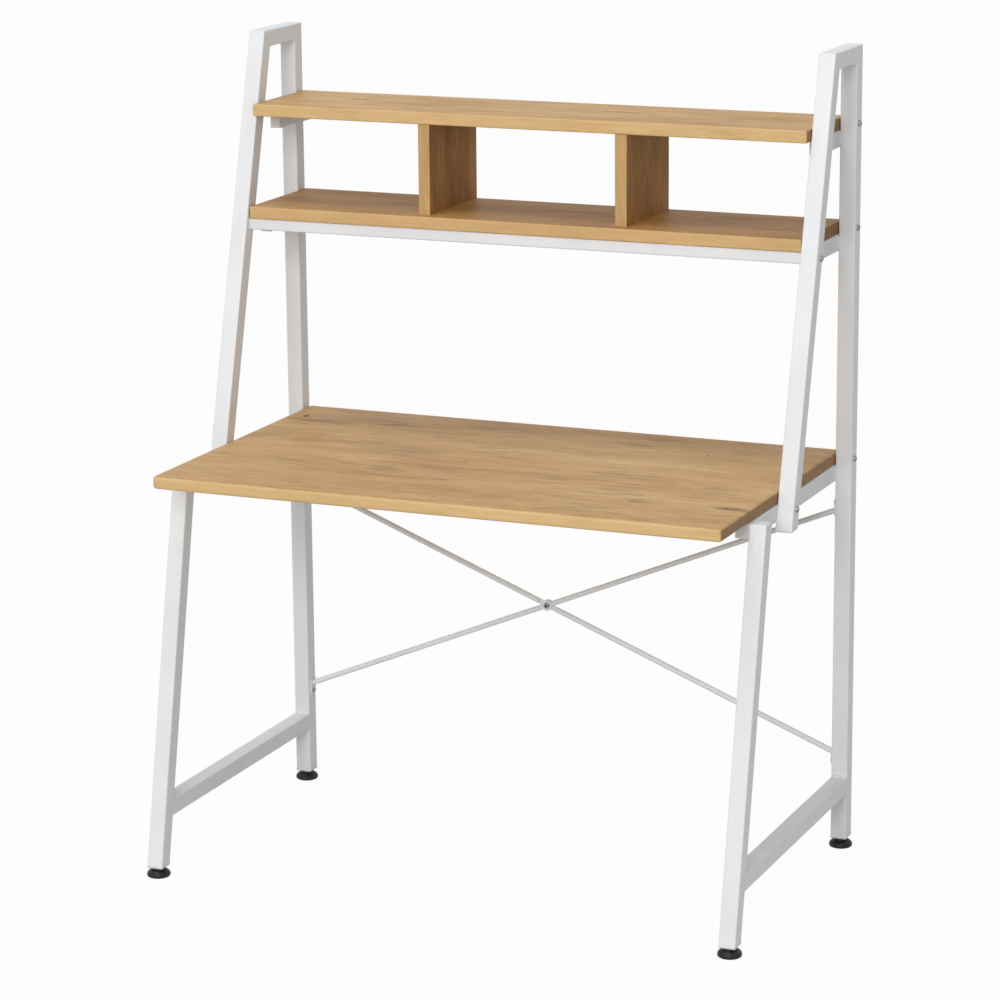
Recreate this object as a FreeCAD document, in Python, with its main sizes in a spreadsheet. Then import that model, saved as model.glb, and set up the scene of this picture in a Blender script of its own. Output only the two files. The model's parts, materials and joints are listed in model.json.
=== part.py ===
import FreeCAD, Part
import os
import re
import Sketcher

# Ladder desk: two welded side frames of square tube, a desk board and two shelves between them.
# X runs left to right, the front faces -Y, Z is up from the floor, the origin is under the middle.

# Driving dimensions in millimetres
sizes = {
    # side frames
    "frame_width": 1100,            # over the outer faces of the two side frames
    "foot_spacing": 598,            # front foot centre to rear foot centre
    "tube": 30,                     # square frame tube
    "tube_wall": 1.5,
    "tube_corner": 2.5,
    "tube_base": 23,                # floor to the lower tube ends
    "upright_reach_desk": 294.5,    # rear post's front to the upright's middle, at the desk top
    "upright_reach_top": 105.5,     # the same at the top of the frame
    "upright_drop": 15,             # the upright's lower end below the desk rail
    "leg_reach": 443,               # rear post's front to the leg's middle, under the desk
    "stretcher_height": 104,        # floor to the underside of the low side bar
    # boards
    "board": 22,
    "board_gap": 1,                 # board end to side frame
    "desk_round": 5,                # the desk board's upper and lower edges
    "desk_corner": 8,               # its corners seen from above
    "shelf_round": 2.5,
    "shelf_corner": 3,
    "desk_height": 730,
    "desk_depth": 623,
    "screen_space": 388,            # clear height from the desk to the lower shelf
    "bay_height": 159,              # clear height between the two shelves
    "frame_head": 124,              # top shelf to the top of the side frames
    "lower_shelf_lead": 5.5,        # shelf edge ahead of the upright's middle
    "top_shelf_lead": 37,
    "divider_spacing": 370,         # between the dividers' middles
    "divider_round": 1.5,
    # bars under the shelves
    "bar_height": 30,
    "bar_width": 20,
    "bar_setback": 24,              # the upright's back to the bars' front ends
    "front_rail": 20,               # square rail under the lower shelf's front edge
    "front_rail_setback": 2,
    # plastic tube plugs
    "plug_flange": 6,
    "plug_depth": 10,
    "plug_round": 4,
    "plug_fit": 0.15,
    # levelling feet
    "pad_diameter": 42,
    "pad_edge": 1,
    "pad_rim": 4,
    "pad_dome": 9,
    "pad_rim_round": 1.5,
    "neck_diameter": 22,
    "socket_floor": 3,
    "stem_diameter": 8,
    "stem_length": 44,
    "stem_tip": 1,
    "stem_fit": 0.1,
    # crossed rods between the rear posts: where their middles meet the posts
    "brace_rod": 10,
    "brace_flat_length": 36,
    "brace_eye": 20,
    "brace_left_drop": 123,         # below the desk board
    "brace_right_drop": 84,
    "brace_left_rise": 58,          # above the low side bar
    "brace_right_rise": 42,
    "tab_thickness": 3,
    "tab_width": 18,
    "tab_lap": 9,
    "tab_screw_offset": 15,
    # machine bolts and their nuts
    "bolt_diameter": 6,
    "bolt_fit": 0.2,
    "bolt_head_diameter": 11,
    "bolt_head_height": 3.5,
    "bolt_tip": 1,
    "bolt_end": 3,                  # thread beyond the nut
    "desk_bolt_drop": 8,            # below the desk board, in the upright
    "nut_across": 10,
    "nut_height": 5,
    "barrel_diameter": 10,
    "barrel_length": 14,
    "barrel_inset": 42,             # board end to the cross nut's axis
    "barrel_fit": 0.15,
    "insert_length": 25,            # nut block in the front rail's end
    # screws and dowels
    "screw_diameter": 4.5,
    "screw_fit": 0.25,
    "screw_head_diameter": 9,
    "screw_head_height": 2.5,
    "screw_bite": 14,
    "divider_bite": 28,
    "brace_screw_diameter": 5,
    "brace_screw_length": 16,
    "dowel_diameter": 8,
    "dowel_length": 24,
    "dowel_fit": 0.1,
    # how far every cut runs past the face it opens
    "overrun": 5,
}

# Shares of a length that carry small features along it
head_crown_share = 0.6
rail_front_screw_shares = (0.62,)
rail_rear_screw_shares = (0.44,)
bar_screw_shares = (0.25, 0.72)
divider_pin_shares = (0.22, 0.78)

# Places and slopes that several pieces share, worked out from the sizes
places = {
    "inner_face": "frame_width / 2 - tube",
    "frame_middle": "frame_width / 2 - tube / 2",
    "rail_middle": "inner_face - tube / 2",
    "bar_middle": "inner_face - bar_width / 2",
    "board_half": "inner_face - board_gap",
    "post_middle": "foot_spacing / 2",
    "post_front": "post_middle - tube / 2",
    "post_back": "post_middle + tube / 2",
    "desk_under": "desk_height - board",
    "desk_front": "post_back - desk_depth",
    "lower_under": "desk_height + screen_space",
    "lower_shelf_height": "lower_under + board",
    "top_under": "lower_shelf_height + bay_height",
    "top_shelf_height": "top_under + board",
    "frame_height": "top_shelf_height + frame_head",
    "upright_slope": "(upright_reach_desk - upright_reach_top) / (frame_height - desk_height)",
    "upright_stretch": "sqrt(1 + upright_slope ^ 2)",
    "upright_bottom": "desk_under - tube - upright_drop + plug_flange",
    "leg_slope": "(post_front - leg_reach + foot_spacing / 2) / (desk_under - tube_base)",
    "leg_stretch": "sqrt(1 + leg_slope ^ 2)",
    "leg_top": "desk_under - plug_flange",
    "stretcher_top": "stretcher_height + tube",
    "desk_bolt_height": "desk_under - desk_bolt_drop",
    "rail_bottom": "desk_under - tube",
    "lower_bar_bottom": "lower_under - bar_height",
    "top_bar_bottom": "top_under - bar_height",
    "front_rail_front": "lower_front + front_rail_setback",
    "front_rail_middle": "front_rail_front + front_rail / 2",
    "front_rail_back": "front_rail_front + front_rail",
    "front_rail_bottom": "lower_under - front_rail",
    "front_bolt_height": "lower_under - front_rail / 2",
    "neck_top": "tube_base - plug_flange",
    "tab_face": "inner_face - tab_thickness",
    "brace_left_upper": "desk_under - brace_left_drop",
    "brace_right_upper": "desk_under - brace_right_drop",
    "brace_left_lower": "stretcher_top + brace_left_rise",
    "brace_right_lower": "stretcher_top + brace_right_rise",
    "fall_slope": "(brace_right_lower - brace_left_upper) / (2 * inner_face)",
    "rise_slope": "(brace_right_upper - brace_left_lower) / (2 * inner_face)",
    "fall_middle": "(brace_right_lower + brace_left_upper) / 2",
    "rise_middle": "(brace_right_upper + brace_left_lower) / 2",
    "cross_x": "(fall_middle - rise_middle) / (rise_slope - fall_slope)",
    "cross_height": "fall_middle + fall_slope * cross_x",
    "bolt_hole": "bolt_diameter + 2 * bolt_fit",
    "screw_hole": "screw_diameter + 2 * screw_fit",
    "brace_screw_hole": "brace_screw_diameter + 2 * screw_fit",
    "post_bolt_length": "tube + board_gap + barrel_inset + barrel_diameter / 2 + bolt_end",
    "rail_bolt_length": "2 * tube + nut_height + bolt_end",
    "front_bolt_length": "tube + insert_length",
    "rail_screw_length": "tube + screw_bite",
    "bar_screw_length": "bar_height + screw_bite",
    "divider_screw_length": "board + divider_bite",
    "hub_bolt_length": "brace_rod + nut_height + bolt_end",
}


def upright_line(height):
    return f"post_front - upright_reach_desk + upright_slope * ({height} - desk_height)"


def upright_rear(height):
    return f"{upright_line(height)} + tube / 2 * upright_stretch"


def leg_line(height):
    return f"-foot_spacing / 2 + leg_slope * ({height} - tube_base)"


places["rail_front"] = leg_line("desk_under - tube / 2")
places["lower_front"] = f"{upright_line('front_bolt_height')} - lower_shelf_lead"
places["top_front"] = f"{upright_line('top_under + board / 2')} - top_shelf_lead"
places["lower_bar_front"] = f"{upright_rear('lower_under - bar_height / 2')} + bar_setback"
places["top_bar_front"] = f"{upright_rear('top_under - bar_height / 2')} + bar_setback"
places["desk_bolt_place"] = upright_line("desk_bolt_height")

doc = FreeCAD.newDocument("ladder_desk")
sheet = doc.addObject("Spreadsheet::Sheet", "Sizes")
for row, (alias, size) in enumerate(sizes.items(), start=1):
    sheet.set(f"A{row}", alias)
    sheet.set(f"B{row}", str(size))
    sheet.setAlias(f"B{row}", alias)
doc.recompute()

nodes = []


def formula(text):
    # Writes a sum of named sizes and places as an expression on the sheet's cells
    def swap(match):
        word = match.group(0)
        if word in sizes:
            return "Sizes." + word
        if word in places:
            return "(" + formula(places[word]) + ")"
        return word
    return re.sub(r"[a-z_]+", swap, text)


def value(text):
    return float(sheet.evalExpression(formula(text)))


def new_body(label):
    body = doc.addObject("PartDesign::Body", label)
    body.Label = label
    return body


def keep(piece, label):
    piece.Label = label
    nodes.append(piece)
    return piece


def new_sketch(body, role, lift):
    sketch = body.newObject("Sketcher::SketchObject", body.Name + "_sketch")
    plane = next(item for item in body.Origin.OriginFeatures if item.Role == role)
    sketch.AttachmentSupport = (plane, [""])
    sketch.MapMode = "FlatFace"
    sketch.setExpression("AttachmentOffset.Base.z", formula(lift))
    return sketch


def pin_point(sketch, item, end, across, along):
    for kind, text in (("DistanceX", across), ("DistanceY", along)):
        rule = sketch.addConstraint(Sketcher.Constraint(kind, -1, 1, item, end, value(text)))
        sketch.setExpression(f"Constraints[{rule}]", formula(text))


def add_loop(sketch, points):
    first = sketch.GeometryCount
    corners = [FreeCAD.Vector(value(across), value(along), 0) for across, along in points]
    count = len(corners)
    for index in range(count):
        line = Part.LineSegment(corners[index], corners[(index + 1) % count])
        sketch.addGeometry(line, False)
    for index, (across, along) in enumerate(points):
        following = first + (index + 1) % count
        sketch.addConstraint(Sketcher.Constraint("Coincident", first + index, 2, following, 1))
        pin_point(sketch, first + index, 1, across, along)


def outline(body, role, *loops, lift="0"):
    sketch = new_sketch(body, role, lift)
    for points in loops:
        add_loop(sketch, points)
    return sketch


def circles(body, role, centres, diameter, lift="0"):
    sketch = new_sketch(body, role, lift)
    for index, (across, along) in enumerate(centres):
        middle = FreeCAD.Vector(value(across), value(along), 0)
        upward = FreeCAD.Vector(0, 0, 1)
        sketch.addGeometry(Part.Circle(middle, upward, value(diameter) / 2), False)
        pin_point(sketch, index, 3, across, along)
        rule = sketch.addConstraint(Sketcher.Constraint("Diameter", index, value(diameter)))
        sketch.setExpression(f"Constraints[{rule}]", formula(diameter))
    return sketch


def pad(body, sketch, length, side="Symmetric", reverse=False):
    feature = body.newObject("PartDesign::Pad", body.Name + "_pad")
    feature.Profile = sketch
    feature.SideType = side
    feature.Reversed = reverse
    feature.setExpression("Length", formula(length))
    return feature


def pocket(body, sketch, length, side="Symmetric", reverse=False):
    doc.recompute()
    before = body.Shape.Volume
    feature = body.newObject("PartDesign::Pocket", body.Name + "_pocket")
    feature.Profile = sketch
    feature.SideType = side
    feature.Reversed = reverse
    feature.setExpression("Length", formula(length))
    doc.recompute()
    if body.Shape.Volume >= before:
        raise RuntimeError(body.Label + ": a cut removes nothing")
    return feature


def turned(body, points):
    # A turned piece: half its section in the XZ plane, spun about Z
    feature = body.newObject("PartDesign::Revolution", body.Name + "_turn")
    sketch = outline(body, "XZ_Plane", points)
    feature.Profile = sketch
    feature.ReferenceAxis = (sketch, ["V_Axis"])
    feature.Angle = 360
    body.Tip = feature
    return feature


def dress(body, kind, amount, chosen):
    # A fillet or chamfer on the edges of the body so far that pass a test
    doc.recompute()
    base = body.Tip
    names = [f"Edge{i}" for i, edge in enumerate(base.Shape.Edges, start=1) if chosen(edge)]
    feature = body.newObject("PartDesign::" + kind, body.Name + "_" + kind.lower())
    feature.Base = (base, names)
    feature.setExpression("Radius" if kind == "Fillet" else "Size", formula(amount))
    return feature


def round_long_edges(body, radius):
    doc.recompute()
    longest = max(edge.Length for edge in body.Tip.Shape.Edges)

    def is_long(edge):
        return edge.Length > longest / 2
    dress(body, "Fillet", radius, is_long)


def at_height(height):
    level = value(height)
    slack = value("overrun") / 1000

    def test(edge):
        return all(abs(vertex.Z - level) < slack for vertex in edge.Vertexes)
    return test


def is_upright(edge):
    box = edge.BoundBox
    return box.ZLength > 2 * max(box.XLength, box.YLength)


def place(piece, x="0", y="0", z="0", axis=None, angle=0):
    if axis:
        piece.Placement = FreeCAD.Placement(FreeCAD.Vector(), FreeCAD.Rotation(axis, angle))
    for name, text in (("x", x), ("y", y), ("z", z)):
        piece.setExpression("Placement.Base." + name, formula(text))
    return piece


def group(label, template, spots):
    # Copies of one small piece, kept together as one node of separate solids
    links = []
    for index, (spot, axis, angle) in enumerate(spots):
        link = doc.addObject("App::Link", f"{label}_{index}")
        link.LinkedObject = template
        links.append(place(link, *spot, axis=axis, angle=angle))
    bundle = doc.addObject("Part::Compound", label)
    bundle.Links = links
    return keep(bundle, label)


def rectangle(left, bottom, right, top):
    return [(left, bottom), (right, bottom), (right, top), (left, top)]


axis_x = FreeCAD.Vector(1, 0, 0)
axis_y = FreeCAD.Vector(0, 1, 0)
axis_z = FreeCAD.Vector(0, 0, 1)
sides = (("left", -1), ("right", 1))


# Square tube

def side_tube(label, x, outside, bore, width="tube"):
    # A tube that lies in a side frame, drawn from the side and hollowed along its length
    body = new_body(label)
    bore_across = f"{width} - 2 * tube_wall"
    pad(body, outline(body, "YZ_Plane", outside), width)
    round_long_edges(body, "tube_corner")
    pocket(body, outline(body, "YZ_Plane", bore), bore_across)
    place(body, x)
    return keep(body, label)


def leaning_strip(line, stretch, bottom, top, half):
    return [
        (f"{line(bottom)} - {half} * {stretch}", bottom),
        (f"{line(bottom)} + {half} * {stretch}", bottom),
        (f"{line(top)} + {half} * {stretch}", top),
        (f"{line(top)} - {half} * {stretch}", top),
    ]


half_tube = "tube / 2"
half_bore = "(tube / 2 - tube_wall)"
mitre_height = "frame_height - tube"


def rear_post(side, sign):
    outside = [
        ("post_front", "tube_base"),
        ("post_back", "tube_base"),
        ("post_back", "frame_height"),
        ("post_front", mitre_height),
    ]
    bore = rectangle("post_front + tube_wall", "tube_base - overrun",
                     "post_back - tube_wall", "frame_height + overrun")
    body = side_tube(f"rear_post_{side}", f"{sign} * frame_middle", outside, bore)
    board_levels = ("desk_height", "lower_shelf_height", "top_shelf_height")
    bolts = [("post_middle", f"{level} - board / 2") for level in board_levels]
    pocket(body, circles(body, "YZ_Plane", bolts, "bolt_hole"), "tube + 2 * overrun")
    screws = [("post_middle", tab_screw_height(side, end)) for end in ("upper", "lower")]
    sketch = circles(body, "YZ_Plane", screws, "brace_screw_hole")
    pocket(body, sketch, "tube / 2 + overrun", side="One side", reverse=sign < 0)


def upright(side, sign):
    outside = leaning_strip(upright_line, "upright_stretch", "upright_bottom", "frame_height", half_tube)
    outside[2] = (upright_rear(mitre_height), mitre_height)
    bore = leaning_strip(upright_line, "upright_stretch", "(upright_bottom - overrun)",
                         "(frame_height + overrun)", half_bore)
    body = side_tube(f"upright_{side}", f"{sign} * frame_middle", outside, bore)
    bolts = [("desk_bolt_place", "desk_bolt_height"), ("front_rail_middle", "front_bolt_height")]
    pocket(body, circles(body, "YZ_Plane", bolts, "bolt_hole"), "tube + 2 * overrun")


def top_bar(side, sign):
    outside = [
        (upright_rear(mitre_height), mitre_height),
        ("post_front", mitre_height),
        ("post_back", "frame_height"),
        (f"{upright_line('frame_height')} - {half_tube} * upright_stretch", "frame_height"),
    ]
    bore = rectangle(f"{upright_line('frame_height')} - tube", "frame_height - tube + tube_wall",
                     "post_back + overrun", "frame_height - tube_wall")
    side_tube(f"top_bar_{side}", f"{sign} * frame_middle", outside, bore)


def lower_leg(side, sign):
    outside = leaning_strip(leg_line, "leg_stretch", "tube_base", "leg_top", half_tube)
    bore = leaning_strip(leg_line, "leg_stretch", "(tube_base - overrun)", "(leg_top + overrun)", half_bore)
    side_tube(f"lower_leg_{side}", f"{sign} * frame_middle", outside, bore)


def leg_rear(height):
    return f"{leg_line(height)} + {half_tube} * leg_stretch"


def stretcher(side, sign):
    outside = [
        (leg_rear("stretcher_height"), "stretcher_height"),
        ("post_front", "stretcher_height"),
        ("post_front", "stretcher_top"),
        (leg_rear("stretcher_top"), "stretcher_top"),
    ]
    bore = rectangle(f"{leg_rear('stretcher_height')} - overrun", "stretcher_height + tube_wall",
                     "post_front + overrun", "stretcher_top - tube_wall")
    side_tube(f"stretcher_{side}", f"{sign} * frame_middle", outside, bore)


def level_tube(label, x, front, back, bottom, top, width):
    outside = rectangle(front, bottom, back, top)
    bore = rectangle(f"{front} - overrun", f"{bottom} + tube_wall",
                     f"{back} + overrun", f"{top} - tube_wall")
    return side_tube(label, x, outside, bore, width)


def spots_along(front, back, shares):
    return [f"{front} + ({back} - ({front})) * {share}" for share in shares]


def drill_up(body, spots):
    # Clear holes straight up through a level tube for the screws that hold a board
    sketch = circles(body, "XY_Plane", [("0", spot) for spot in spots], "screw_hole")
    pocket(body, sketch, "frame_height", side="One side", reverse=True)


# The desk rail's screws stay clear of the bolt that crosses it, one on each side
rail_screw_spots = spots_along("rail_front", "desk_bolt_place", rail_front_screw_shares)
rail_screw_spots += spots_along("desk_bolt_place", "post_back", rail_rear_screw_shares)
lower_screw_spots = spots_along("lower_bar_front", "post_back", bar_screw_shares)
top_screw_spots = spots_along("top_bar_front", "post_back", bar_screw_shares)


def desk_rail(side, sign):
    body = level_tube(f"desk_rail_{side}", f"{sign} * rail_middle", "rail_front + plug_flange",
                      "post_back - plug_flange", "rail_bottom", "desk_under", "tube")
    bolt = [("desk_bolt_place", "desk_bolt_height")]
    pocket(body, circles(body, "YZ_Plane", bolt, "bolt_hole"), "tube + 2 * overrun")
    drill_up(body, rail_screw_spots)


def shelf_bars(side, sign):
    lower = level_tube(f"lower_shelf_bar_{side}", f"{sign} * bar_middle", "lower_bar_front + plug_flange",
                       "post_back - plug_flange", "lower_bar_bottom", "lower_under", "bar_width")
    drill_up(lower, lower_screw_spots)
    upper = level_tube(f"top_shelf_bar_{side}", f"{sign} * bar_middle", "top_bar_front + plug_flange",
                       "post_back - plug_flange", "top_bar_bottom", "top_under", "bar_width")
    drill_up(upper, top_screw_spots)


def shelf_front_rail():
    body = new_body("front_rail")
    outside = rectangle("front_rail_front", "front_rail_bottom", "front_rail_back", "lower_under")
    bore = rectangle("front_rail_front + tube_wall", "front_rail_bottom + tube_wall",
                     "front_rail_back - tube_wall", "lower_under - tube_wall")
    pad(body, outline(body, "YZ_Plane", outside), "2 * inner_face")
    round_long_edges(body, "tube_corner")
    pocket(body, outline(body, "YZ_Plane", bore), "2 * inner_face + 2 * overrun")
    keep(body, "front_rail")


# Plastic plugs that close the tube ends

def plug(label, x, flange, spigot, rim, width="tube"):
    body = new_body(label)
    pad(body, outline(body, "YZ_Plane", flange), width)
    dress(body, "Fillet", "plug_round", rim)
    pad(body, outline(body, "YZ_Plane", spigot), f"{width} - 2 * tube_wall - 2 * plug_fit")
    place(body, x)
    return body


def leaning_plug(label, x, line, stretch, end, direction):
    # direction is 1 for a plug pushed up into a lower end, -1 for one pushed down into an upper end
    rim_level = f"({end} - {direction} * plug_flange)"
    deep_level = f"({end} + {direction} * plug_depth)"
    flange = leaning_strip(line, stretch, rim_level, end, half_tube)
    spigot = leaning_strip(line, stretch, end, deep_level, f"({half_bore} - plug_fit)")
    return plug(label, x, flange, spigot, at_height(rim_level))


def post_line(height):
    return f"post_middle + 0 * {height}"


def foot_plug(label, x, line, stretch, middle):
    body = leaning_plug(label, x, line, stretch, "tube_base", 1)
    sketch = circles(body, "XY_Plane", [("0", middle)], "stem_diameter + 2 * stem_fit")
    pocket(body, sketch, "tube_base + plug_depth + overrun", side="One side", reverse=True)
    keep(body, label)


def level_plugs(label, x, front, back, bottom, top, width):
    # Plugs for both ends of the left and right tubes, drawn for a front end and turned round for the rear
    flange = rectangle("-plug_flange", bottom, "0", top)
    spigot = rectangle("0", f"{bottom} + tube_wall + plug_fit", "plug_depth", f"{top} - tube_wall - plug_fit")
    face = value("-plug_flange")
    slack = value("overrun") / 1000

    def on_face(edge):
        return all(abs(vertex.Y - face) < slack for vertex in edge.Vertexes)
    template = plug(label + "_master", "0", flange, spigot, on_face, width)
    group(label, template, [
        ((f"{sign} * {x}", mouth), axis_z, turn)
        for side, sign in sides for mouth, turn in ((front, 0), (back, 180))
    ])


def tube_plugs():
    for side, sign in sides:
        x = f"{sign} * frame_middle"
        body = leaning_plug(f"upright_plug_{side}", x, upright_line, "upright_stretch", "upright_bottom", 1)
        keep(body, body.Label)
        body = leaning_plug(f"leg_cap_{side}", x, leg_line, "leg_stretch", "leg_top", -1)
        keep(body, body.Label)
    rear = "post_back - plug_flange"
    level_plugs("rail_plugs", "rail_middle", "rail_front + plug_flange", rear,
                "rail_bottom", "desk_under", "tube")
    level_plugs("lower_bar_plugs", "bar_middle", "lower_bar_front + plug_flange", rear,
                "lower_bar_bottom", "lower_under", "bar_width")
    level_plugs("top_bar_plugs", "bar_middle", "top_bar_front + plug_flange", rear,
                "top_bar_bottom", "top_under", "bar_width")


# Levelling feet

def levelling_foot(corner, x, y):
    pad_radius = "pad_diameter / 2"
    neck_radius = "neck_diameter / 2"
    socket_radius = "stem_diameter / 2 + stem_fit"
    body = new_body(f"foot_pad_{corner}")
    turned(body, [
        ("0", "0"),
        (f"{pad_radius} - pad_edge", "0"),
        (pad_radius, "pad_edge"),
        (pad_radius, "pad_rim"),
        (neck_radius, "pad_dome"),
        (neck_radius, "neck_top"),
        (socket_radius, "neck_top"),
        (socket_radius, "socket_floor"),
        ("0", "socket_floor"),
    ])
    on_rim = at_height("pad_rim")
    neck_width = value("neck_diameter")
    dress(body, "Fillet", "pad_rim_round", lambda edge: on_rim(edge) and edge.BoundBox.XLength > neck_width)
    keep(place(body, x, y), f"foot_pad_{corner}")
    stem_radius = "stem_diameter / 2"
    stem_top = "socket_floor + stem_length"
    body = new_body(f"foot_stem_{corner}")
    turned(body, [
        ("0", "socket_floor"),
        (stem_radius, "socket_floor"),
        (stem_radius, f"{stem_top} - stem_tip"),
        (f"{stem_radius} - stem_tip", stem_top),
        ("0", stem_top),
    ])
    keep(place(body, x, y), f"foot_stem_{corner}")


def feet():
    for side, sign in sides:
        x = f"{sign} * frame_middle"
        foot_plug(f"foot_plug_front_{side}", x, leg_line, "leg_stretch", "-foot_spacing / 2")
        foot_plug(f"foot_plug_rear_{side}", x, post_line, "1", "post_middle")
        levelling_foot(f"front_{side}", x, "-foot_spacing / 2")
        levelling_foot(f"rear_{side}", x, "post_middle")


# Boards

def board_blank(label, front, under, kind):
    body = new_body(label)
    plan = rectangle("-board_half", front, "board_half", "post_back")
    pad(body, outline(body, "XY_Plane", plan, lift=under), "board", side="One side")
    dress(body, "Fillet", kind + "_corner", is_upright)
    for level in (under, f"{under} + board"):
        dress(body, "Fillet", kind + "_round", at_height(level))
    bolt = [("post_middle", f"{under} + board / 2")]
    depth = "barrel_inset + barrel_diameter / 2 + bolt_end"
    for end, reverse in (("board_half", False), ("-board_half", True)):
        pocket(body, circles(body, "YZ_Plane", bolt, "bolt_hole", lift=end), depth, "One side", reverse)
    nuts = [(f"{sign} * (board_half - barrel_inset)", "post_middle") for side, sign in sides]
    drill_under(body, nuts, "barrel_diameter + 2 * barrel_fit", under, "board / 2 + barrel_length / 2")
    return keep(body, label)


def drill_under(body, spots, diameter, under, depth):
    sketch = circles(body, "XY_Plane", spots, diameter, lift=under)
    pocket(body, sketch, depth, side="One side", reverse=True)


def mirrored_spots(x, along):
    return [(f"{sign} * {x}", spot) for side, sign in sides for spot in along]


divider_pins = mirrored_spots("divider_spacing / 2",
                              spots_along("top_front", "post_back", divider_pin_shares))


def pilot_holes(body, x, along, under):
    drill_under(body, mirrored_spots(x, along), "screw_hole", under, "screw_bite")


def boards():
    desk = board_blank("desktop", "desk_front", "desk_under", "desk")
    pilot_holes(desk, "rail_middle", rail_screw_spots, "desk_under")
    lower = board_blank("lower_shelf", "lower_front", "lower_under", "shelf")
    pilot_holes(lower, "bar_middle", lower_screw_spots, "lower_under")
    drill_under(lower, divider_pins, "screw_hole", "lower_under", "board + overrun")
    top = board_blank("top_shelf", "top_front", "top_under", "shelf")
    pilot_holes(top, "bar_middle", top_screw_spots, "top_under")
    drill_under(top, divider_pins, "dowel_diameter + 2 * dowel_fit", "top_under", "dowel_length / 2")


def divider(side, sign):
    body = new_body(f"divider_{side}")
    face = rectangle("top_front", "lower_shelf_height", "post_back", "top_under")
    pad(body, outline(body, "YZ_Plane", face), "board")
    dress(body, "Fillet", "divider_round", is_upright)
    holes = [("0", spot) for x, spot in divider_pins[:len(divider_pin_shares)]]
    drill_under(body, holes, "screw_hole", "lower_shelf_height", "divider_bite")
    sketch = circles(body, "XY_Plane", holes, "dowel_diameter + 2 * dowel_fit", lift="top_under")
    pocket(body, sketch, "dowel_length / 2", side="One side")
    keep(place(body, f"{sign} * divider_spacing / 2"), f"divider_{side}")


# Crossed rods between the rear posts

rod_lines = {
    ("left", "upper"): ("fall_middle", "fall_slope", -1),
    ("right", "lower"): ("fall_middle", "fall_slope", 1),
    ("left", "lower"): ("rise_middle", "rise_slope", -1),
    ("right", "upper"): ("rise_middle", "rise_slope", 1),
}


def rod_end_height(side, end):
    middle, slope, sign = rod_lines[side, end]
    return f"{middle} + {sign} * {slope} * tab_face"


def tab_screw_height(side, end):
    return f"{rod_end_height(side, end)} {'+' if end == 'upper' else '-'} tab_screw_offset"


def brace_rod(label, slope, sign, axis, gap):
    # A round rod, ground flat to half its thickness where it laps over the other one
    body = new_body(label + "_blank")
    pad(body, circles(body, "YZ_Plane", [("0", "0")], "brace_rod"), "4 * inner_face")
    lap = rectangle("-brace_flat_length / 2", "-brace_rod", "brace_flat_length / 2", "brace_rod")
    pocket(body, outline(body, "XZ_Plane", lap), "brace_rod", side="One side", reverse=sign > 0)
    pad(body, circles(body, "XZ_Plane", [("0", "0")], "brace_eye"), "brace_rod / 2", "One side", sign > 0)
    pocket(body, circles(body, "XZ_Plane", [("0", "0")], "bolt_hole"), "2 * brace_rod")
    place(body, "cross_x", "post_middle", "cross_height", axis, 1)
    body.setExpression("Placement.Rotation.Angle", f"atan({formula(slope)})")
    rod = doc.addObject("Part::Common", label)
    rod.Base = body
    rod.Tool = gap
    keep(rod, label)


def cross_brace():
    gap = doc.addObject("Part::Box", "space_between_tabs")
    for name, text in (("Length", "2 * tab_face"), ("Width", "tube"), ("Height", "frame_height")):
        gap.setExpression(name, formula(text))
    place(gap, "-tab_face", "post_front")
    brace_rod("brace_rod_falling", "-(fall_slope)", 1, axis_y, gap)
    brace_rod("brace_rod_rising", "rise_slope", -1, -axis_y, gap)
    tab = new_body("brace_tab_master")
    plate = rectangle("-tab_width / 2", "-tab_lap", "tab_width / 2", "tab_screw_offset")
    pad(tab, outline(tab, "YZ_Plane", plate), "tab_thickness")
    pad(tab, circles(tab, "YZ_Plane", [("0", "tab_screw_offset")], "tab_width"), "tab_thickness")
    hole = circles(tab, "YZ_Plane", [("0", "tab_screw_offset")], "brace_screw_hole")
    pocket(tab, hole, "tab_thickness + 2 * overrun")
    screw = headed_pin("brace_screw_master", "brace_screw_length", "brace_screw_diameter",
                       "screw_head_diameter", "screw_head_height")
    tabs = []
    screws = []
    for side, end in rod_lines:
        sign = -1 if side == "left" else 1
        turn = 0 if end == "upper" else 180
        spot = (f"{sign} * (inner_face - tab_thickness / 2)", "post_middle", rod_end_height(side, end))
        tabs.append((spot, axis_x, turn))
        spot = (f"{sign} * tab_face", "post_middle", tab_screw_height(side, end))
        screws.append((spot, axis_y, sign * 90))
    group("brace_tabs", tab, tabs)
    group("brace_screws", screw, screws)
    hub = machine_bolt("hub_bolt", "hub_bolt_length")
    keep(place(hub, "cross_x", "post_middle - brace_rod / 2", "cross_height", axis_x, -90), "hub_bolt")
    nut = hex_nut("hub_nut")
    keep(place(nut, "cross_x", "post_middle + brace_rod / 2", "cross_height", axis_x, -90), "hub_nut")


# Bolts, nuts, screws and dowels

def headed_pin(label, length, diameter, head_diameter, head_height):
    # Head below the XY plane, shank up along Z
    body = new_body(label)
    radius = f"{diameter} / 2"
    head = f"{head_diameter} / 2"
    turned(body, [
        ("0", f"-{head_height}"),
        (f"{head} * {head_crown_share}", f"-{head_height}"),
        (head, f"-{head_height} * (1 - {head_crown_share})"),
        (head, "0"),
        (radius, "0"),
        (radius, f"{length} - bolt_tip"),
        (f"{radius} - bolt_tip", length),
        ("0", length),
    ])
    return body


def machine_bolt(label, length):
    return headed_pin(label, length, "bolt_diameter", "bolt_head_diameter", "bolt_head_height")


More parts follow.
